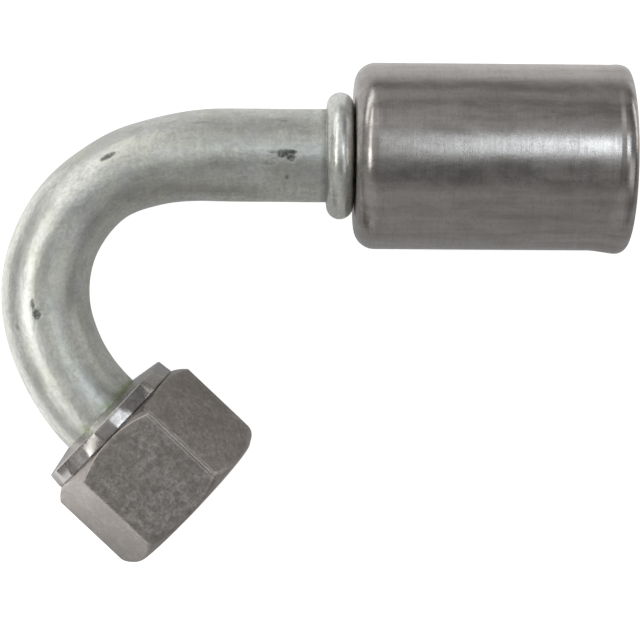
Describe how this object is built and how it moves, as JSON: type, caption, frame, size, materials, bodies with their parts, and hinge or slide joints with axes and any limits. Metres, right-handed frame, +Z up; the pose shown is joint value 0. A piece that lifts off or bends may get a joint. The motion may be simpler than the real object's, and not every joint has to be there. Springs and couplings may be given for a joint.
{
  "type": "hose end fitting",
  "caption": "Bent aluminium hose end fitting with a rolled bead, a steel crimp shell over a barbed nipple and a hexagon swivel nut with an internal thread.",
  "frame": {"origin": "centre of the hose stop: on the hose axis, at the inner face of the crimp shell's back wall", "axes": "+X along the hose axis, out of the crimp shell's mouth; the tube's bend lies in the XY plane and turns towards -Y; +Z up, square to the bend"},
  "size_m": [0.0856, 0.0691, 0.0258],
  "materials": {
    "tube_aluminium": "mill finish, satin, slightly stained",
    "shell_steel": "fine turned, dark plated",
    "nut_steel": "dull, mottled, dark plated",
    "oring_rubber": "smooth"
  },
  "bodies": {
    "tube": {"bent_tube": "tube_aluminium", "port_oring": "oring_rubber"},
    "shell": {"crimp_shell": "shell_steel"},
    "nut": {"swivel_nut": "nut_steel"}
  },
  "joints": [
    {"name": "nut_swivel", "type": "hinge", "parent": "tube", "child": "nut", "pos_m": [-0.03543, -0.03604, 0], "axis": [0.7284, -0.6852, 0], "continuous": true},
    {"name": "shell_spin", "type": "hinge", "parent": "tube", "child": "shell", "pos_m": [-0.0008, 0, 0], "axis": [1, 0, 0], "continuous": true}
  ]
}
